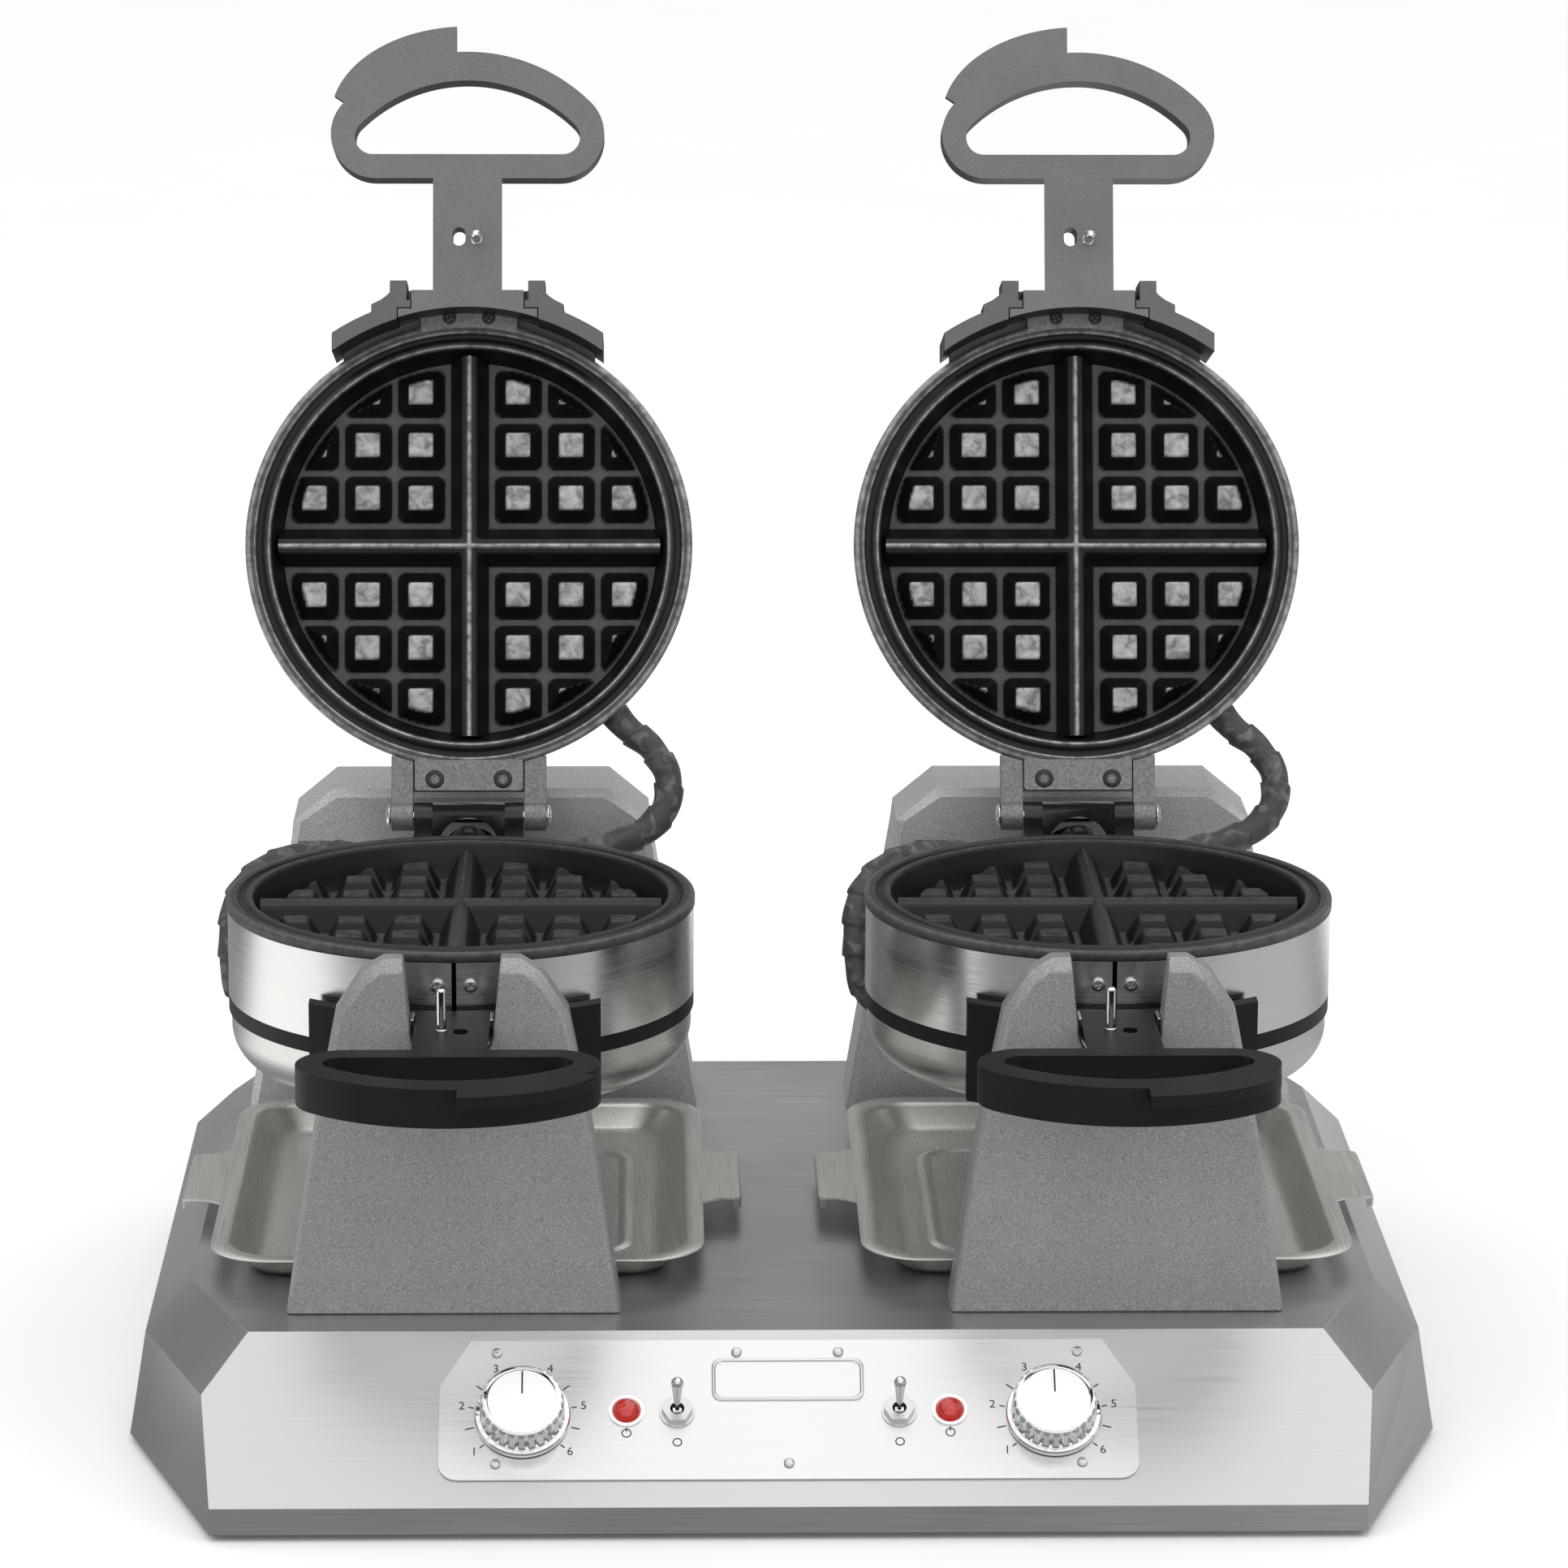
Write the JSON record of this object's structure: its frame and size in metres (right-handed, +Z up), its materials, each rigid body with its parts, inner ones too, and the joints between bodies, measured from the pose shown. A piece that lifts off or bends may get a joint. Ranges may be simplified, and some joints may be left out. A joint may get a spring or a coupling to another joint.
{
  "type": "twin rotary waffle maker",
  "caption": "Twin counter-top waffle maker: two round hinged grid plates on rotating drums, drip trays, sloping control panel.",
  "frame": {"origin": "on the resting surface, under the centre of the whole object's footprint", "axes": "+X to the right seen from the front, -Y towards the user at the control panel, +Z up"},
  "size_m": [0.561, 0.4723, 0.5711],
  "materials": {
    "steel_satin": "satin spun stainless steel",
    "steel_band": "bright brushed stainless steel",
    "nonstick": "black non-stick coating on cast aluminium",
    "black_cast": "matt black paint on cast metal",
    "black_grip": "matt black phenolic moulding",
    "hinge_cast": "dark cast metal",
    "yoke_cast": "dark cast metal, semi-gloss",
    "element": "sheathed heating element",
    "dark_screw": "blackened steel",
    "bright_screw": "bright zinc-plated steel",
    "chrome": "polished chrome",
    "cable_wrap": "black taped and braided wrap",
    "tray_steel": "satin pressed stainless steel",
    "hammered_paint": "silver-grey hammertone paint",
    "base_steel": "brushed stainless sheet",
    "panel_aluminium": "satin anodised plate",
    "foot_rubber": "moulded black rubber",
    "lamp_red": "red lens",
    "thermostat_body": "phenolic and zinc housing"
  },
  "bodies": {
    "root": {"base_shell": "base_steel", "base_floor": "base_steel", "feet": "foot_rubber", "control_panel": "panel_aluminium", "panel_rivets": "bright_screw", "lamps": "lamp_red", "switch_bodies": "bright_screw", "thermostats": "thermostat_body", "pivot_bushes": "chrome", "rear_covers": "hinge_cast", "left_front_post": "hammered_paint", "left_rear_post": "hammered_paint", "right_front_post": "hammered_paint", "right_rear_post": "hammered_paint"},
    "left_drum": {"left_drum_bowl": "steel_satin", "left_drum_band": "steel_band", "left_drum_plate": "nonstick", "left_drum_bracket": "black_cast", "left_drum_handle": "black_grip", "left_drum_latch_pin": "chrome", "left_drum_element": "element", "left_drum_screws": "bright_screw", "left_hinge_yoke": "yoke_cast", "left_hinge_pin": "chrome", "left_lid_cable": "cable_wrap", "left_drum_cable": "cable_wrap"},
    "left_lid": {"left_lid_cover": "steel_satin", "left_lid_plate": "nonstick", "left_lid_bracket": "black_cast", "left_lid_handle": "black_grip", "left_lid_hinge_leaf": "hinge_cast", "left_lid_element": "element", "left_lid_screws": "dark_screw", "left_lid_latch_pin": "chrome"},
    "left_tray": {"left_tray": "tray_steel"},
    "left_knob": {"left_knob": "chrome"},
    "left_toggle": {"left_toggle": "chrome"},
    "right_drum": {"right_drum_bowl": "steel_satin", "right_drum_band": "steel_band", "right_drum_plate": "nonstick", "right_drum_bracket": "black_cast", "right_drum_handle": "black_grip", "right_drum_latch_pin": "chrome", "right_drum_element": "element", "right_drum_screws": "bright_screw", "right_hinge_yoke": "yoke_cast", "right_hinge_pin": "chrome", "right_lid_cable": "cable_wrap", "right_drum_cable": "cable_wrap"},
    "right_lid": {"right_lid_cover": "steel_satin", "right_lid_plate": "nonstick", "right_lid_bracket": "black_cast", "right_lid_handle": "black_grip", "right_lid_hinge_leaf": "hinge_cast", "right_lid_element": "element", "right_lid_screws": "dark_screw", "right_lid_latch_pin": "chrome"},
    "right_tray": {"right_tray": "tray_steel"},
    "right_knob": {"right_knob": "chrome"},
    "right_toggle": {"right_toggle": "chrome"}
  },
  "joints": [
    {"name": "left_flip", "type": "hinge", "parent": "root", "child": "left_drum", "pos_m": [-0.14, 0, 0.191], "axis": [0, 1, 0], "range_deg": [-12, 12]},
    {"name": "left_lid_hinge", "type": "hinge", "parent": "left_drum", "child": "left_lid", "pos_m": [-0.14, 0.125, 0.218], "axis": [1, 0, 0], "range_deg": [0, 107], "deforming": ["left_lid_cable"]},
    {"name": "left_tray_slide", "type": "slide", "parent": "root", "child": "left_tray", "axis": [-1, 0, 0], "range_m": [0, 0.26]},
    {"name": "left_knob_turn", "type": "hinge", "parent": "root", "child": "left_knob", "pos_m": [-0.11, -0.19871, 0.04154], "axis": [0, -0.6361, 0.7716], "range_deg": [-135, 135]},
    {"name": "left_toggle_tilt", "type": "hinge", "parent": "root", "child": "left_toggle", "pos_m": [-0.046, -0.19844, 0.04435], "axis": [1, 0, 0], "range_deg": [0, 30]},
    {"name": "right_flip", "type": "hinge", "parent": "root", "child": "right_drum", "pos_m": [0.14, 0, 0.191], "axis": [0, 1, 0], "range_deg": [-12, 12]},
    {"name": "right_lid_hinge", "type": "hinge", "parent": "right_drum", "child": "right_lid", "pos_m": [0.14, 0.125, 0.218], "axis": [1, 0, 0], "range_deg": [0, 107], "deforming": ["right_lid_cable"]},
    {"name": "right_tray_slide", "type": "slide", "parent": "root", "child": "right_tray", "axis": [1, 0, 0], "range_m": [0, 0.26]},
    {"name": "right_knob_turn", "type": "hinge", "parent": "root", "child": "right_knob", "pos_m": [0.11, -0.19871, 0.04154], "axis": [0, -0.6361, 0.7716], "range_deg": [-135, 135]},
    {"name": "right_toggle_tilt", "type": "hinge", "parent": "root", "child": "right_toggle", "pos_m": [0.046, -0.19844, 0.04435], "axis": [1, 0, 0], "range_deg": [0, 30]}
  ]
}
